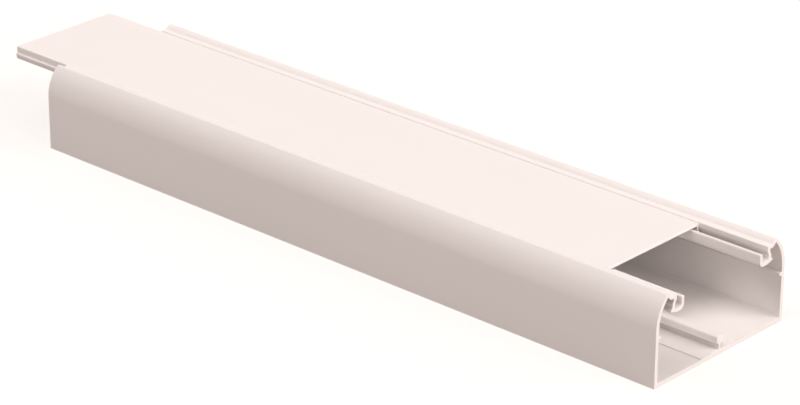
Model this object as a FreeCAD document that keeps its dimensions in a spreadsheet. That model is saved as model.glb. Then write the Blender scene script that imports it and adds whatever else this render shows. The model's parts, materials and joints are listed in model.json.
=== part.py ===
import FreeCAD, Part
import math
import os
import Sketcher

# A short length of two-piece installation trunking in hard PVC.
# The base is an extruded channel: a flat floor with a T rail along its middle, two walls whose tops
# curve inwards over a large radius, and a lip on each that carries a hooked groove.
# The cover is an extruded plate with two barbed legs that snap into the grooves.
# X runs along the extrusion, Y across it and Z up. The base lies on Z = 0, centred on X and Y.

# Driving dimensions, lengths in millimetres and angles in degrees
DIMENSIONS = {
    # The two pieces along the extrusion: the cover stands out past the base's left end
    "base_length": 505,
    "cover_length": 505,
    "cover_overhang": 50,
    # Base: overall section, floor and walls
    "base_width": 120,
    "base_height": 56,
    "floor_thickness": 2.8,
    "wall_thickness": 2.7,
    "inner_corner_radius": 1.2,
    # Base: the shoulder that turns each wall inwards, up to a narrow crest
    "shoulder_radius": 26,
    "shoulder_sweep": 48,
    "crest_radius": 1.4,
    "crest_thickness": 2.1,
    # Base: the flat lip beside the cover, reached from the crest by a rounded slope
    "lip_drop": 2.5,
    "lip_width": 4.65,
    "lip_thickness": 2.1,
    "slope_radius": 4.5,
    "slope_start_angle": 10,
    "roof_slope": 42,
    "roof_offset": 0.55,
    # Base: the catch on the lip's inner face and the hooked groove under it
    "catch_height": 3.45,
    "catch_depth": 1.2,
    "catch_rise": 1.8,
    "groove_depth": 9,
    "groove_radius": 1.4,
    "hook_thickness": 2.4,
    "hook_radius": 3.4,
    "foot_reach": 1.5,
    "foot_rise": 1.2,
    "foot_drop": 0.4,
    "foot_edge": 1,
    "tongue_thickness": 2.35,
    # Base: shallow raised band and T rail along the middle of the floor
    "band_width": 34.8,
    "band_rise": 0.6,
    "rail_height": 12,
    "rail_web": 1.8,
    "rail_head_width": 5.6,
    "rail_head_height": 4.6,
    "rail_edge_radius": 1,
    # Base: small bead along the inside of each wall
    "bead_level": 31.1,
    "bead_reach": 2.3,
    "bead_root": 2.4,
    "bead_tip": 1.3,
    # Cover: plate and legs, its face a little below the lips
    "cover_recess": 0.15,
    "cover_thickness": 1.8,
    "cover_edge_radius": 0.8,
    "leg_thickness": 1.4,
    "leg_taper": 0.6,
    "barb_rise": 0.9,
    "barb_edge": 0.5,
    # Clearances between the seated cover and the base
    "cover_side_gap": 0.25,
    "barb_seat_gap": 1,
    "barb_side_gap": 0.45,
    "leg_end_gap": 0.25,
    "tongue_side_gap": 2.95,
    "tongue_top_gap": 0.95,
}


class Size:
    """A value together with the formula that binds it to the sheet."""

    def __init__(self, value, formula):
        self.value = value
        self.formula = formula

    def __add__(self, other):
        return Size(self.value + value_of(other), f"({self.formula} + {formula_of(other)})")

    def __sub__(self, other):
        return Size(self.value - value_of(other), f"({self.formula} - {formula_of(other)})")

    def __mul__(self, other):
        return Size(self.value * value_of(other), f"({self.formula} * {formula_of(other)})")

    def __truediv__(self, other):
        return Size(self.value / value_of(other), f"({self.formula} / {formula_of(other)})")


def value_of(item):
    return item.value if isinstance(item, Size) else item


def formula_of(item):
    return item.formula if isinstance(item, Size) else str(item)


def root(item):
    return Size(math.sqrt(item.value), f"sqrt({item.formula})")


def sine(angle):
    return Size(math.sin(math.radians(angle.value)), f"sin({angle.formula})")


def cosine(angle):
    return Size(math.cos(math.radians(angle.value)), f"cos({angle.formula})")


def size(alias):
    """The driving dimension of that name."""
    return Size(DIMENSIONS[alias], f"Dimensions.{alias}")


def make_sheet(document):
    """Write the driving dimensions into the sheet, each under its alias."""
    sheet = document.addObject("Spreadsheet::Sheet", "Dimensions")
    for row, (alias, number) in enumerate(DIMENSIONS.items(), start=1):
        sheet.set(f"A{row}", alias)
        sheet.set(f"B{row}", str(number))
        sheet.setAlias(f"B{row}", alias)
    document.recompute()


def origin_plane(body, role):
    """One of the body's own origin planes."""
    return next(item for item in body.Origin.OriginFeatures if item.Role == role)


def arc_between(start, end, radius):
    """The shorter arc from start to end: left-turning for a positive radius, else right-turning."""
    chord = end - start
    left = FreeCAD.Vector(-chord.y, chord.x, 0).normalize()
    offset = math.sqrt(radius ** 2 - (chord.Length / 2) ** 2)
    centre = (start + end) / 2 + left * math.copysign(offset, radius)
    first, last = (start, end) if radius > 0 else (end, start)
    first_angle = math.atan2(first.y - centre.y, first.x - centre.x)
    last_angle = math.atan2(last.y - centre.y, last.x - centre.x)
    circle = Part.Circle(centre, FreeCAD.Vector(0, 0, 1), abs(radius))
    return Part.ArcOfCircle(circle, first_angle, last_angle)


def bind(sketch, kind, item, *where):
    """Add one constraint and tie its value to the sheet."""
    number = sketch.addConstraint(Sketcher.Constraint(kind, *where, item.value))
    sketch.setExpression(f"Constraints[{number}]", item.formula)


def draw_section(body, name, corners):
    """Draw a closed section across the extrusion from its corners, taken anticlockwise.

    A corner is (y, z), or (y, z, radius) where the edge that leaves it is an arc: the radius is
    negative where the arc is hollow. A plain 0 puts the corner on the axis.
    """
    sketch = body.newObject("Sketcher::SketchObject", name)
    sketch.AttachmentSupport = (origin_plane(body, "YZ_Plane"), [""])
    sketch.MapMode = "FlatFace"
    points = [FreeCAD.Vector(value_of(corner[0]), value_of(corner[1]), 0) for corner in corners]
    ends = []
    for index, corner in enumerate(corners):
        start = points[index]
        end = points[(index + 1) % len(points)]
        if len(corner) == 3:
            edge = sketch.addGeometry(arc_between(start, end, corner[2].value), False)
            bind(sketch, "Radius", corner[2] if corner[2].value > 0 else corner[2] * -1, edge)
            ends.append((1, 2) if corner[2].value > 0 else (2, 1))
        else:
            edge = sketch.addGeometry(Part.LineSegment(start, end), False)
            ends.append((1, 2))
    for edge, (start, end) in enumerate(ends):
        following = (edge + 1) % len(ends)
        sketch.addConstraint(Sketcher.Constraint("Coincident", edge, end, following, ends[following][0]))
    for edge, (start, end) in enumerate(ends):
        across, up = corners[edge][:2]
        if isinstance(across, Size):
            bind(sketch, "DistanceX", across, -1, 1, edge, start)
        else:
            sketch.addConstraint(Sketcher.Constraint("PointOnObject", edge, start, -2))
        if isinstance(up, Size):
            bind(sketch, "DistanceY", up, -1, 1, edge, start)
        else:
            sketch.addConstraint(Sketcher.Constraint("PointOnObject", edge, start, -1))
    return sketch


def extrude(body, name, corners, length):
    """Pad one half section along the extrusion."""
    pad = body.newObject("PartDesign::Pad", name)
    pad.Profile = draw_section(body, f"{name}_section", corners)
    pad.setExpression("Length", length.formula)
    return pad


def mirror_halves(body, pads):
    """Mirror the half on +Y to the other side of the middle plane."""
    mirrored = body.newObject("PartDesign::Mirrored", "both_halves")
    mirrored.Originals = pads
    mirrored.MirrorPlane = (origin_plane(body, "XZ_Plane"), [""])
    body.Tip = mirrored


def new_body(document, label, start):
    """An empty body whose extrusion starts at that place along X."""
    body = document.addObject("PartDesign::Body", label)
    body.Label = label
    body.setExpression("Placement.Base.x", start.formula)
    return body


# Levels and places that the two pieces share, all on the +Y half
half_width = size("base_width") / 2
lip_level = size("base_height") - size("lip_drop")
groove_floor = lip_level - size("groove_depth")

shoulder_y = half_width - size("shoulder_radius")
crest_y = shoulder_y + (size("shoulder_radius") - size("crest_radius")) * cosine(size("shoulder_sweep"))
crest_z = size("base_height") - size("crest_radius")
shoulder_z = crest_z - (size("shoulder_radius") - size("crest_radius")) * sine(size("shoulder_sweep"))

# The slope is one arc that leaves the crest at its starting angle and meets the flat lip at a corner
slope_radius = size("slope_radius")
slope_top_y = crest_y - size("crest_radius") * sine(size("slope_start_angle"))
slope_top_z = crest_z + size("crest_radius") * cosine(size("slope_start_angle"))
slope_centre_y = slope_top_y + slope_radius * sine(size("slope_start_angle"))
lip_over_centre = lip_level - slope_top_z + slope_radius * cosine(size("slope_start_angle"))
slope_foot_y = slope_centre_y - root(slope_radius * slope_radius - lip_over_centre * lip_over_centre)

slot_half = slope_foot_y - size("lip_width")
cover_level = lip_level - size("cover_recess")
cover_underside = cover_level - size("cover_thickness")
cover_half = slot_half - size("cover_side_gap")
leg_inner = cover_half - size("leg_thickness")
recess_face = slot_half + size("catch_depth")


def shell_half():
    """Half of the floor, one wall and its shoulder, all one skin."""
    outer = size("shoulder_radius")
    sweep = size("shoulder_sweep")
    wall_face = half_width - size("wall_thickness")
    # The skin thins towards the crest, so its inner arc has a radius and a centre of its own
    skin_end = outer - size("crest_thickness")
    end_y = shoulder_y + skin_end * cosine(sweep)
    end_z = shoulder_z + skin_end * sine(sweep)
    across = wall_face - end_y
    rise = end_z - shoulder_z
    inner = (across * across + rise * rise) / (across * 2)
    floor = size("floor_thickness")
    corner = size("inner_corner_radius")
    return [
        (0, 0),
        (half_width, 0),
        (half_width, shoulder_z, outer),
        (shoulder_y + outer * cosine(sweep), shoulder_z + outer * sine(sweep)),
        (end_y, end_z, inner * -1),
        (wall_face, shoulder_z),
        (wall_face, floor + corner, corner * -1),
        (wall_face - corner, floor),
        (0, floor),
    ]


def lip_and_hook():
    """The crest, the lip with its catch, and the hooked groove that takes the cover's leg.

    The leg under the lip keeps its thickness where it steps outwards at the catch.
    """
    sweep = size("shoulder_sweep")
    crest = size("crest_radius")
    thickness = size("hook_thickness")
    underside = lip_level - size("lip_thickness")
    hook_round = size("hook_radius")
    leg_outer = recess_face + thickness
    foot_tip = leg_outer + size("foot_reach")
    tongue_outer = leg_inner - size("tongue_side_gap")
    tongue_inner = tongue_outer - size("tongue_thickness")
    tongue_top = cover_underside - size("tongue_top_gap")
    tongue_round = size("tongue_thickness") / 2
    inner_round = size("groove_radius")
    foot_level = groove_floor - size("foot_drop")
    # The roof of the cell runs straight up from the lip's underside to the line of the crest's centre
    bend_y = slope_foot_y + size("roof_offset")
    bend_z = underside + (crest_y - bend_y) * sine(size("roof_slope")) / cosine(size("roof_slope"))
    return [
        (crest_y + crest * cosine(sweep), crest_z + crest * sine(sweep), crest),
        (slope_top_y, slope_top_z, slope_radius),
        (slope_foot_y, lip_level),
        (slot_half, lip_level),
        (slot_half, lip_level - size("catch_height")),
        (recess_face, lip_level - size("catch_height") - size("catch_rise")),
        (recess_face, groove_floor + inner_round, inner_round * -1),
        (recess_face - inner_round, groove_floor),
        (tongue_outer + inner_round, groove_floor, inner_round * -1),
        (tongue_outer, groove_floor + inner_round),
        (tongue_outer, tongue_top - tongue_round, tongue_round),
        (tongue_outer - tongue_round, tongue_top, tongue_round),
        (tongue_inner, tongue_top - tongue_round),
        (tongue_inner, groove_floor - thickness + hook_round, hook_round),
        (tongue_inner + hook_round, groove_floor - thickness),
        (recess_face - inner_round, groove_floor - thickness),
        (foot_tip, foot_level - size("foot_edge") / 2),
        (foot_tip, foot_level + size("foot_edge") / 2),
        (leg_outer, groove_floor + size("foot_rise")),
        (leg_outer, lip_level - size("catch_height") - size("catch_rise")),
        (slot_half + thickness, lip_level - size("catch_height")),
        (slot_half + thickness, underside),
        (bend_y, underside),
        (crest_y, bend_z),
    ]


def floor_band():
    """Half of the shallow raised band along the middle of the floor."""
    top = size("floor_thickness") + size("band_rise")
    edge = size("band_width") / 2
    return [(0, 0), (edge, 0), (edge, top), (0, top)]


def floor_rail():
    """Half of the T rail, from the underside of the floor up."""
    web = size("rail_web") / 2
    head = size("rail_head_width") / 2
    top = size("rail_height")
    radius = size("rail_edge_radius")
    return [
        (0, 0),
        (web, 0),
        (web, top - size("rail_head_height")),
        (head, top - size("rail_head_height")),
        (head, top - radius, radius),
        (head - radius, top),
        (0, top),
    ]


def wall_bead():
    """The bead inside the wall, wider at its root than at its tip."""
    wall_face = half_width - size("wall_thickness")
    tip_face = wall_face - size("bead_reach")
    root = size("bead_root") / 2
    tip = size("bead_tip") / 2
    level = size("bead_level")
    return [(wall_face, level - root), (wall_face, level + root), (tip_face, level + tip), (tip_face, level - tip)]


def cover_half_section():
    """Half of the cover's plate with its barbed leg, seated in the base's groove."""
    leg_end = groove_floor + size("leg_end_gap")
    barb_tip = recess_face - size("barb_side_gap")
    barb_root = lip_level - size("catch_height") - size("barb_seat_gap")
    barb_top = barb_root - size("barb_rise")
    radius = size("cover_edge_radius")
    return [
        (0, cover_underside),
        (leg_inner, cover_underside),
        (leg_inner, leg_end),
        (barb_tip - size("leg_taper"), leg_end),
        (barb_tip, barb_top - size("barb_edge")),
        (barb_tip, barb_top),
        (cover_half, barb_root),
        (cover_half, cover_level - radius, radius),
        (cover_half - radius, cover_level),
        (0, cover_level),
    ]


def build_base(document):
    """The channel that is screwed to the wall or floor."""
    length = size("base_length")
    body = new_body(document, "base_channel", length / -2)
    sections = {
        "shell": shell_half(),
        "lip": lip_and_hook(),
        "band": floor_band(),
        "rail": floor_rail(),
        "bead": wall_bead(),
    }
    pads = [extrude(body, name, corners, length) for name, corners in sections.items()]
    mirror_halves(body, pads)
    return body


def build_cover(document):
    """The snap-in cover, pushed along so that it leaves the base's right end open."""
    body = new_body(document, "snap_cover", size("base_length") / -2 - size("cover_overhang"))
    plate = extrude(body, "plate", cover_half_section(), size("cover_length"))
    mirror_halves(body, [plate])
    return body


doc = FreeCAD.newDocument("trunking")
make_sheet(doc)
bodies = [build_base(doc), build_cover(doc)]
doc.recompute()

for item in doc.Objects:
    if "Invalid" in item.State or "Error" in item.State:
        raise RuntimeError(f"{item.Name} failed: {item.State}")
for body in bodies:
    if body.Shape.isNull() or not body.Shape.isValid() or len(body.Shape.Solids) != 1:
        raise RuntimeError(f"{body.Label} isn't one valid solid")

os.makedirs("parts", exist_ok=True)
for body in bodies:
    body.Shape.exportStep(f"parts/{body.Label}.step")
    box = body.Shape.BoundBox
    print(f"{body.Label}: {box.XLength:.1f} x {box.YLength:.1f} x {box.ZLength:.1f} mm, "
          f"{len(body.Shape.Faces)} faces, {body.Shape.Volume / 1000:.1f} cm3")
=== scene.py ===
# %% [markdown]
# # A length of two-piece trunking, dressed for its picture
#
# The object is plastic wiring trunking: an extruded channel that is fixed to a wall, and a flat cover
# that snaps between its two lips. The cover has been pushed along, so the right end stands open.
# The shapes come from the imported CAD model. This lesson gives them the finish of the real thing:
# rounded edges, sawn ends, and rigid PVC with the faint lines that an extrusion die leaves.

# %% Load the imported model
import json
import math

import bmesh
import bpy
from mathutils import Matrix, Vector

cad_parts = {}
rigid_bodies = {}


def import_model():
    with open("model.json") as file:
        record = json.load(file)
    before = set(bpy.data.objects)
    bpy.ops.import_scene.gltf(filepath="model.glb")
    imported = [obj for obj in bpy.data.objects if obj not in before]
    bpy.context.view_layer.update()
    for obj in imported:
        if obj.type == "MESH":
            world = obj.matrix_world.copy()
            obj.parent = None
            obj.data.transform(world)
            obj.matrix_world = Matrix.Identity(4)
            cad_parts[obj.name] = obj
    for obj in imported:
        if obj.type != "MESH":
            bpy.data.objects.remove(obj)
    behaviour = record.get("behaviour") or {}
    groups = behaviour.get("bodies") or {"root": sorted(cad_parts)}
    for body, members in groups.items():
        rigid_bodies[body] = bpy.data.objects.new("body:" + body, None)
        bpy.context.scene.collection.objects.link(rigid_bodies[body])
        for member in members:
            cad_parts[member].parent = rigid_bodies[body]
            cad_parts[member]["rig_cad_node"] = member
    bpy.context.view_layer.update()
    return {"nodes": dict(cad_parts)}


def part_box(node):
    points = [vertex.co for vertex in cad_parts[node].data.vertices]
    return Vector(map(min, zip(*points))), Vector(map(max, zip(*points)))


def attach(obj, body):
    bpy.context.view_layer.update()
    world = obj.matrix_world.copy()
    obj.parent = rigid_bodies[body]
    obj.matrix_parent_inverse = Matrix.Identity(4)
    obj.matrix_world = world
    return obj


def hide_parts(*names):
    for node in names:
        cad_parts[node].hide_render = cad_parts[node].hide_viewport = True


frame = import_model()
MM = 0.001
for name in sorted(frame["nodes"]):
    low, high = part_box(name)
    print(name, [round(value / MM, 1) for value in (*low, *high)])

# %% [markdown]
# ## The camera
#
# The photograph was taken with a long lens, from the right front and above. Its place, aim and lens were
# worked out from the trunking's straight edges, so they are typed in as they came out: the lens in
# millimetres on Blender's 36 mm wide sensor, the place in metres and the turns in degrees.

# %% Camera
LENS = 147.31
CAMERA_PLACE = (1.25024, -1.36147, 0.84957)
CAMERA_TURNS = (65.7852, -0.1451, 42.5408)

camera_data = bpy.data.cameras.new("photo_camera")
camera_data.lens = LENS
camera_data.clip_start = 0.1
camera_data.clip_end = 50
camera = bpy.data.objects.new("photo_camera", camera_data)
camera.location = CAMERA_PLACE
camera.rotation_euler = [math.radians(angle) for angle in CAMERA_TURNS]
bpy.context.scene.collection.objects.link(camera)
bpy.context.scene.camera = camera
print("camera stands", round(camera.location.length, 2), "m from the origin")

# %% [markdown]
# ## Helpers for colours and nodes
#
# A colour is written as it would be in a paint program, as sRGB hex, and Blender's sockets want linear
# light, so one function turns it. Another adds a node, sets its values and joins its inputs.

# %% Colour and node helpers
def colour(hex_code):
    """A linear colour from sRGB hex."""
    parts = [int(hex_code[i:i + 2], 16) / 255 for i in (0, 2, 4)]
    return [c / 12.92 if c <= 0.04045 else ((c + 0.055) / 1.055) ** 2.4 for c in parts] + [1.0]


def add_node(tree, kind, settings=None, **inputs):
    """Add a node; an input is a number, a list, or an output socket to join.

    Base_Color names the input Base Color, and n6 is the input with number 6.
    """
    node = tree.nodes.new(kind)
    for key, value in (settings or {}).items():
        setattr(node, key, value)
    for key, value in inputs.items():
        socket = node.inputs[int(key[1:])] if key.startswith("n") else node.inputs[key.replace("_", " ")]
        if isinstance(value, bpy.types.NodeSocket):
            tree.links.new(value, socket)
        else:
            socket.default_value = value
    return node


def new_material(name):
    """An empty node material, with its tree and its output node."""
    material = bpy.data.materials.new(name)
    material.use_nodes = True
    tree = material.node_tree
    tree.nodes.clear()
    return material, tree, tree.nodes.new("ShaderNodeOutputMaterial")


WHITE = colour("FFFFFF")
print("half-way grey 808080 is", round(colour("808080")[0], 3), "in linear light")

# %% [markdown]
# ## Painted shade in the recesses
#
# The hooked grooves and the corner under the rail look deeper than a few soft lamps make them, so
# shade is painted into the colour there. An Ambient Occlusion node measures how much of a point's view
# is clear of plastic within 12 mm: 1 on an open flat, near 0 in a slot. The skin takes its own colour
# from 0.60 up, and turns to a darker painted-shade tone as the view shuts down to 0.12. It looks at its
# own piece only, so neither the floor nor the other piece darkens it. Faces that look down keep their
# own colour, as the white plastic below throws light up at them: the underside of each catch is as
# light as the face above it. The upward part of the surface's normal tells them: it is 0 on a wall,
# and the change runs from -0.1 to -0.4.

# %% Painted shade in recesses
# Colour, reach and samples of the shade painted into the recesses.
PAINTED_SHADE_TONE = "C0B6B0"
PAINTED_SHADE_REACH = 12 * MM
PAINTED_SHADE_SAMPLES = 12
SHUT_IN = 0.12
OPEN_ENOUGH = 0.60
LOOKS_DOWN = -0.4
LOOKS_LEVEL = -0.1


def painted_shade_in_recesses(tree, own_tone):
    """The skin's own tone in the open and on undersides, and a painted shade in the recesses."""
    view = add_node(tree, "ShaderNodeAmbientOcclusion", {"samples": PAINTED_SHADE_SAMPLES, "only_local": True},
                    Distance=PAINTED_SHADE_REACH)
    open_part = add_node(tree, "ShaderNodeMapRange", n0=view.outputs["AO"],
                         n1=SHUT_IN, n2=OPEN_ENOUGH, n3=0.0, n4=1.0)
    normal = add_node(tree, "ShaderNodeNewGeometry").outputs["True Normal"]
    upward = add_node(tree, "ShaderNodeSeparateXYZ", Vector=normal).outputs["Z"]
    underside = add_node(tree, "ShaderNodeMapRange", n0=upward,
                         n1=LOOKS_DOWN, n2=LOOKS_LEVEL, n3=1.0, n4=0.0)
    own_share = add_node(tree, "ShaderNodeMath", {"operation": "MAXIMUM"},
                         n0=open_part.outputs[0], n1=underside.outputs[0])
    painted_shade_mix = add_node(tree, "ShaderNodeMix", {"data_type": "RGBA"}, n0=own_share.outputs[0],
                     n6=colour(PAINTED_SHADE_TONE), n7=own_tone)
    return painted_shade_mix.outputs[2]


# Shows the painted shade tone and how far it reaches.
print("recess tone", PAINTED_SHADE_TONE, "where plastic within", round(PAINTED_SHADE_REACH / MM), "mm shuts the view")

# %% [markdown]
# ## Rigid PVC, as it leaves the die
#
# Both pieces are rigid PVC coloured through in one warm white, pushed hot through a steel die and cooled
# in a sizing block. That gives a satin skin: smooth along the length, with very faint lines where the
# die's edge left its mark. The lines are noise stretched along X: a Mapping node squeezes X to 0.003, so
# a line is some 300 times as long as it is wide. Real ones are under a tenth of a millimetre wide, too
# fine to show, so they are drawn about 0.8 mm apart and only a few microns deep. Wider bands of gloss,
# 7 mm apart and three times as high as the lines, stand for the sizing block, and a 60 mm mottle for
# uneven cooling. A Noise node seldom leaves 0.3 to 0.7, so the roughness is spread over that range.

# %% Extruded PVC
PVC_IOR = 1.53
DIE_LINE = 0.8 * MM
LINE_DEPTH = 0.006 * MM
LINE_STRENGTH = 0.6
DRAWN_OUT = 0.003
GLOSS_BAND = 7 * MM
BAND_RISE = 3.0
BAND_LOW = 0.3
BAND_HIGH = 0.7
GLOSSIEST = 0.36
DULLEST = 0.46
MOTTLE = 60 * MM


def extruded_pvc(name, skin, shade):
    """Satin PVC skin with die lines along X; shade is its slightly darker mottle."""
    material, tree, out = new_material(name)
    place = add_node(tree, "ShaderNodeTexCoord").outputs["Object"]
    drawn = add_node(tree, "ShaderNodeMapping", Vector=place, Scale=(DRAWN_OUT, 1, 1)).outputs["Vector"]
    lines = add_node(tree, "ShaderNodeTexNoise", Vector=drawn, Scale=1 / DIE_LINE, Detail=2.0)
    bands = add_node(tree, "ShaderNodeTexNoise", Vector=drawn, Scale=1 / GLOSS_BAND, Detail=1.0)
    mottle = add_node(tree, "ShaderNodeTexNoise", Vector=place, Scale=1 / MOTTLE, Detail=3.0)
    tone = add_node(tree, "ShaderNodeMix", {"data_type": "RGBA"}, n0=mottle.outputs["Fac"],
                    n6=colour(shade), n7=colour(skin))
    gloss = add_node(tree, "ShaderNodeMapRange", n0=bands.outputs["Fac"],
                     n1=BAND_LOW, n2=BAND_HIGH, n3=GLOSSIEST, n4=DULLEST)
    height = add_node(tree, "ShaderNodeMath", {"operation": "MULTIPLY_ADD"},
                      n0=bands.outputs["Fac"], n1=BAND_RISE, n2=lines.outputs["Fac"])
    relief = add_node(tree, "ShaderNodeBump", Height=height.outputs[0],
                      Strength=LINE_STRENGTH, Distance=LINE_DEPTH)
    # The base colour carries the painted shade in the recesses, over the skin's own mottled tone.
    satin = add_node(tree, "ShaderNodeBsdfPrincipled", Base_Color=painted_shade_in_recesses(tree, tone.outputs[2]),
                     Roughness=gloss.outputs[0], Normal=relief.outputs[0], IOR=PVC_IOR)
    tree.links.new(satin.outputs[0], out.inputs["Surface"])
    print(name, "skin", skin)
    return material


channel_skin = extruded_pvc("extruded_pvc_channel", skin="F9F6F4", shade="F7F4F2")
cover_skin = extruded_pvc("extruded_pvc_cover", skin="FAF7F5", shade="F8F5F3")

# %% [markdown]
# ## Sawn ends
#
# Trunking is cut to length with a fine circular saw. The cut face is duller than the skin and carries
# shallow arcs, one for each tooth that passed. The arcs are rings round a blade centre 170 mm below the
# back face and, on the near side, 60 mm from the middle: a Mapping node adds the shift that brings that
# centre to the origin. Real arcs are 0.3 mm apart, and these are 1 mm so that they can be seen. At a
# scale of 1 a Wave node draws a ring every pi / 10 metres, which gives the scale that is needed. The
# grit between the arcs is 0.5 mm.

# %% Sawn PVC
SAW_ARC = 1.0 * MM
SAW_DEPTH = 0.03 * MM
SAW_STRENGTH = 0.7
SAW_GRIT = 0.5 * MM
GRIT_RISE = 0.5
BLADE_SHIFT = (0, 0.06, 0.17)
CUT_ROUGHNESS = 0.62


def sawn_pvc(name, face, shade):
    """The dull cut face with the arcs of a circular saw; shade is the slightly darker side of its grit."""
    material, tree, out = new_material(name)
    place = add_node(tree, "ShaderNodeTexCoord").outputs["Object"]
    blade = add_node(tree, "ShaderNodeMapping", Vector=place, Location=BLADE_SHIFT).outputs["Vector"]
    arcs = add_node(tree, "ShaderNodeTexWave", {"wave_type": "RINGS", "rings_direction": "X"}, Vector=blade,
                    Scale=math.pi / 10 / SAW_ARC, Distortion=1.5, Detail=2.0)
    grit = add_node(tree, "ShaderNodeTexNoise", Vector=place, Scale=1 / SAW_GRIT, Detail=2.0)
    tone = add_node(tree, "ShaderNodeMix", {"data_type": "RGBA"}, n0=grit.outputs["Fac"],
                    n6=colour(shade), n7=colour(face))
    height = add_node(tree, "ShaderNodeMath", {"operation": "MULTIPLY_ADD"},
                      n0=grit.outputs["Fac"], n1=GRIT_RISE, n2=arcs.outputs["Fac"])
    relief = add_node(tree, "ShaderNodeBump", Height=height.outputs[0],
                      Strength=SAW_STRENGTH, Distance=SAW_DEPTH)
    cut = add_node(tree, "ShaderNodeBsdfPrincipled", Base_Color=tone.outputs[2], Roughness=CUT_ROUGHNESS,
                   Normal=relief.outputs[0], IOR=PVC_IOR)
    tree.links.new(cut.outputs[0], out.inputs["Surface"])
    print(name, "face", face)
    return material


sawn_face = sawn_pvc("sawn_pvc_end", face="FCF9F7", shade="F6F2F0")

# %% [markdown]
# ## Rounding the edges
#
# A die has small radii, so every corner of the real section is softened, and those corners are what
# catch the light along a plastic extrusion. The CAD mesh is loose triangles with knife edges. A copy is
# merged, its flat triangles are dissolved into whole faces, and each sharp edge gets a bevel of 0.2 mm.
# Only the low step beside the floor's raised band, 0.6 mm high and 17.4 mm from the middle, is left
# crisp, as it is in the photograph. A face that looks along X is a cut end, and gets the sawn material.
# Weighted normals then keep the flats flat while the bevels and the big shoulder shade round.

# %% Finished copy of a CAD node
WELD = 0.002 * MM
SAME_FLAT = math.radians(0.5)
SHARP = math.radians(32)
SMOOTH = math.radians(50)
EDGE_RADIUS = 0.2 * MM
STEP_NEAREST = 16 * MM
STEP_FARTHEST = 19 * MM
STEP_UNDER = 5 * MM
END_ON = 0.99


def low_step(edge):
    """Whether an edge belongs to the low step beside the floor's raised band, which stays crisp."""
    return all(STEP_NEAREST < abs(corner.co.y) < STEP_FARTHEST and corner.co.z < STEP_UNDER
               for corner in edge.verts)


def copy_of(node_name, piece_name):
    """A copy of a CAD node, alone selected and ready to be edited."""
    piece = frame["nodes"][node_name].copy()
    piece.data = piece.data.copy()
    piece.name = piece_name
    piece.data.name = piece_name
    piece.parent = None
    del piece["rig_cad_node"]
    bpy.context.scene.collection.objects.link(piece)
    bpy.ops.object.select_all(action="DESELECT")
    piece.select_set(True)
    bpy.context.view_layer.objects.active = piece
    return piece


def soften_edges(piece):
    """Merge the loose triangles into whole faces, and bevel each sharp edge but the low step's."""
    bpy.ops.object.mode_set(mode="EDIT")
    bpy.ops.mesh.select_all(action="SELECT")
    bpy.ops.mesh.remove_doubles(threshold=WELD)
    bpy.ops.mesh.dissolve_limited(angle_limit=SAME_FLAT)
    bpy.ops.mesh.select_mode(type="EDGE")
    bpy.ops.mesh.select_all(action="DESELECT")
    bpy.ops.mesh.edges_select_sharp(sharpness=SHARP)
    shape = bmesh.from_edit_mesh(piece.data)
    for edge in shape.edges:
        if edge.select and low_step(edge):
            edge.select_set(False)
    bmesh.update_edit_mesh(piece.data)
    bpy.ops.mesh.bevel(offset=EDGE_RADIUS, offset_type="OFFSET", segments=2, clamp_overlap=False)
    bpy.ops.object.mode_set(mode="OBJECT")


def finished_copy(node_name, piece_name, skin):
    """A copy of a CAD node with rounded edges, whose cut ends carry their own material."""
    piece = copy_of(node_name, piece_name)
    soften_edges(piece)
    piece.data.materials.clear()
    piece.data.materials.append(skin)
    piece.data.materials.append(sawn_face)
    for face in piece.data.polygons:
        face.material_index = 1 if abs(face.normal.x) > END_ON else 0
    bpy.ops.object.shade_smooth_by_angle(angle=SMOOTH)
    weighted = piece.modifiers.new("flat_faces_stay_flat", "WEIGHTED_NORMAL")
    weighted.keep_sharp = True
    bpy.ops.object.modifier_apply(modifier=weighted.name)
    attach(piece, "root")
    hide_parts(node_name)
    print(piece_name, len(piece.data.polygons), "faces")
    return piece


channel = finished_copy("base_channel", "channel", channel_skin)
cover = finished_copy("snap_cover", "cover", cover_skin)

# %% [markdown]
# ## Floor
#
# The picture is a catalogue shot on white. A wide pale floor catches the soft shadow, and adds a little
# light of its own for the camera and for reflections alone, so that it reads as white without
# brightening the plastic. It lies a hair below the trunking, so that the two faces don't flicker.

# %% Floor
FLOOR_SIDE = 16
FLOOR_GAP = 0.05 * MM
FLOOR_MATT = "9C928A"
FLOOR_GLOW = 0.75


def white_floor():
    """A pale floor that looks white to the camera but keeps the shadow."""
    material, tree, out = new_material("studio_floor")
    ray = add_node(tree, "ShaderNodeLightPath")
    seen = add_node(tree, "ShaderNodeMath", {"operation": "MAXIMUM"},
                    n0=ray.outputs["Is Camera Ray"], n1=ray.outputs["Is Glossy Ray"])
    lift = add_node(tree, "ShaderNodeMath", {"operation": "MULTIPLY"}, n0=seen.outputs[0], n1=FLOOR_GLOW)
    matt = add_node(tree, "ShaderNodeBsdfDiffuse", Color=colour(FLOOR_MATT))
    glow = add_node(tree, "ShaderNodeEmission", Color=WHITE, Strength=lift.outputs[0])
    both = add_node(tree, "ShaderNodeAddShader", n0=matt.outputs[0], n1=glow.outputs[0])
    tree.links.new(both.outputs[0], out.inputs["Surface"])
    return material


bpy.ops.object.select_all(action="DESELECT")
bpy.ops.mesh.primitive_plane_add(size=FLOOR_SIDE, location=(0, 0, -FLOOR_GAP))
floor = bpy.context.active_object
floor.name = "studio_floor"
floor.data.materials.append(white_floor())
print("floor", [round(side, 1) for side in floor.dimensions])

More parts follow.
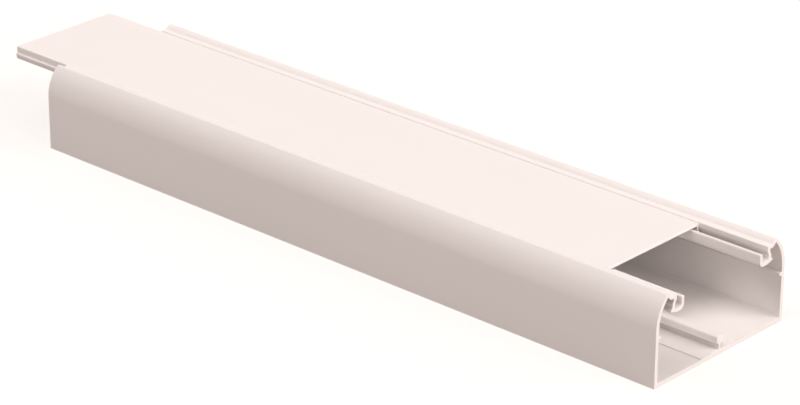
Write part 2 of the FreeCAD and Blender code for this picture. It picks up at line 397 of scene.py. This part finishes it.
# %% [markdown]
# ## Light
#
# The light was found from the photograph: its levels on the cover, the shoulder, the wall and the open
# inside were matched with single lamps, and the strongest were kept. Two lamps come from above, two
# reach into the open end and brighten the sawn faces, two stand low at the ends and light the deep
# inside, and the world gives the fill. All are faintly warm, as in the photo. The two low lamps don't
# show in reflections, or the satin cover would glare white seen along its length.

# %% Fill light
LAMP_TINT = "FFF5F2"
FILL = 0.345

world = bpy.data.worlds.new("studio")
world.use_nodes = True
sky = world.node_tree
sky.nodes.clear()
seen = add_node(sky, "ShaderNodeLightPath").outputs["Is Camera Ray"]
level = add_node(sky, "ShaderNodeMapRange", n0=seen, n3=FILL, n4=1.0)
tint = add_node(sky, "ShaderNodeMix", {"data_type": "RGBA"}, n0=seen, n6=colour(LAMP_TINT), n7=WHITE)
glow = add_node(sky, "ShaderNodeBackground", Color=tint.outputs[2], Strength=level.outputs[0])
sky_out = add_node(sky, "ShaderNodeOutputWorld")
sky.links.new(glow.outputs[0], sky_out.inputs["Surface"])
bpy.context.scene.world = world
bpy.context.scene.view_settings.view_transform = "Standard"
print("fill", FILL, "from all round, and white to the camera")

# %% Lamps
LAMP_SPREAD = math.radians(30)


def lamp(name, direction, strength, mirrored=True):
    """A soft sun lamp from that direction; a strength of 1 lights a facing white surface to 1."""
    data = bpy.data.lights.new(name, "SUN")
    data.energy = strength * math.pi
    data.angle = LAMP_SPREAD
    data.color = colour(LAMP_TINT)[:3]
    light = bpy.data.objects.new(name, data)
    light.rotation_euler = Vector(direction).to_track_quat("Z", "Y").to_euler()
    light.visible_glossy = mirrored
    bpy.context.scene.collection.objects.link(light)
    print(name, "strength", strength, "from", direction)


lamp("near_side_overhead", (-0.20, -0.52, 0.83), 0.263)
lamp("top", (0.00, -0.21, 0.98), 0.12)
lamp("open_end_high", (0.87, 0.00, 0.50), 0.20)
lamp("open_end_far_side", (0.75, 0.43, 0.50), 0.45)
lamp("open_end_low", (0.97, -0.10, 0.22), 0.17, mirrored=False)
lamp("covered_end_low", (-0.97, 0.00, 0.24), 0.27, mirrored=False)
